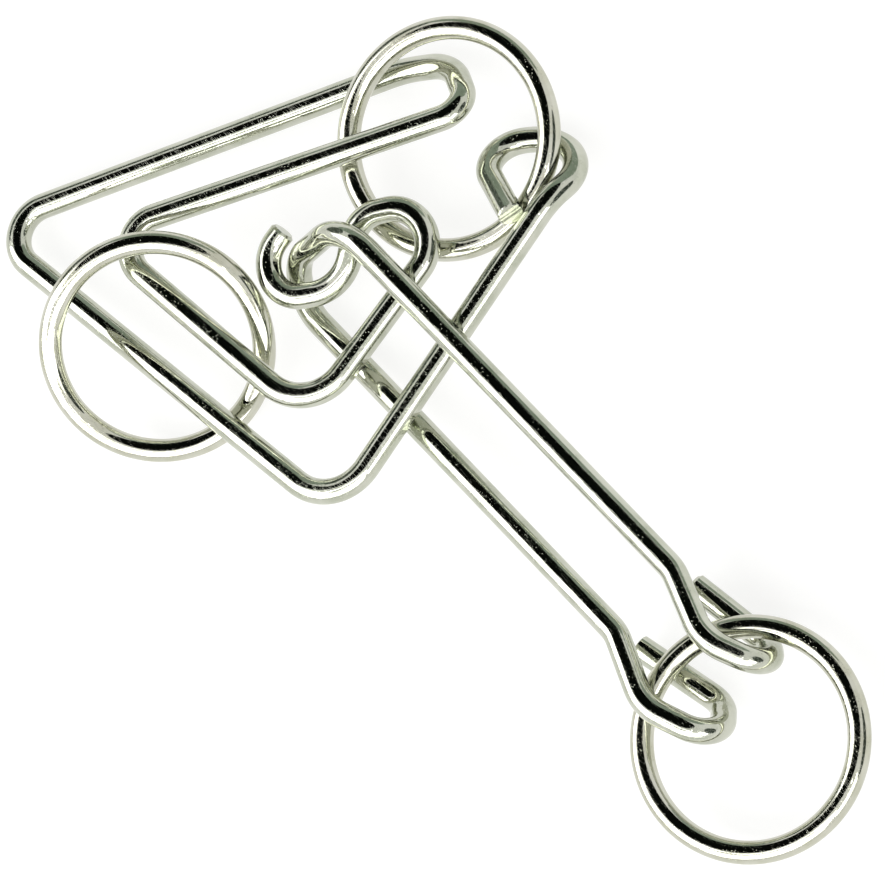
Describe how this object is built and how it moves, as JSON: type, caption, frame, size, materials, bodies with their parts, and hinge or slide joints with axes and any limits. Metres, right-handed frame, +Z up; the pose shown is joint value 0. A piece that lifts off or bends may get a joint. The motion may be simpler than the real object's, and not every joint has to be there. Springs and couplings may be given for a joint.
{
  "type": "disentanglement puzzle",
  "caption": "Metal disentanglement puzzle: a bent wire frame, a long hooked wire hairpin and plain loose rings, all linked through one another",
  "frame": {"origin": "centre of the bounding box in plan, on the table the puzzle lies on", "axes": "+X along the hairpin from the frame to the handle ring, +Z up off the table, +Y across, right-handed"},
  "size_m": [0.1263, 0.0683, 0.0151],
  "materials": {
    "wire_steel": "bright nickel-plated drawn wire with fine scratches and pits",
    "ring_steel": "bright nickel-plated wire rings"
  },
  "bodies": {
    "bent_frame": {"bent_frame": "wire_steel"},
    "hairpin": {"hairpin": "wire_steel"},
    "loose_ring": {"loose_ring": "ring_steel"},
    "frame_ring": {"frame_ring": "ring_steel"},
    "handle_ring": {"handle_ring": "ring_steel"}
  },
  "joints": [
    {"name": "hairpin_swing", "type": "hinge", "parent": "bent_frame", "child": "hairpin", "pos_m": [-0.0306, -0.0002, 0.005], "axis": [0, 0, 1], "range_deg": [-10, 30]},
    {"name": "loose_ring_tilt", "type": "hinge", "parent": "bent_frame", "child": "loose_ring", "pos_m": [-0.0276, -0.0189, 0.0032], "axis": [-0.038, 0.9635, 0.2649], "range_deg": [0, 130]},
    {"name": "frame_ring_tilt", "type": "hinge", "parent": "bent_frame", "child": "frame_ring", "pos_m": [-0.0255, 0.0178, 0.0057], "axis": [0.9406, 0.3319, 0.072], "range_deg": [0, 100]},
    {"name": "handle_ring_swing", "type": "hinge", "parent": "hairpin", "child": "handle_ring", "pos_m": [0.0383, -0.0019, 0.0058], "axis": [-0.199, -0.9698, -0.141], "range_deg": [-20, 21]}
  ]
}
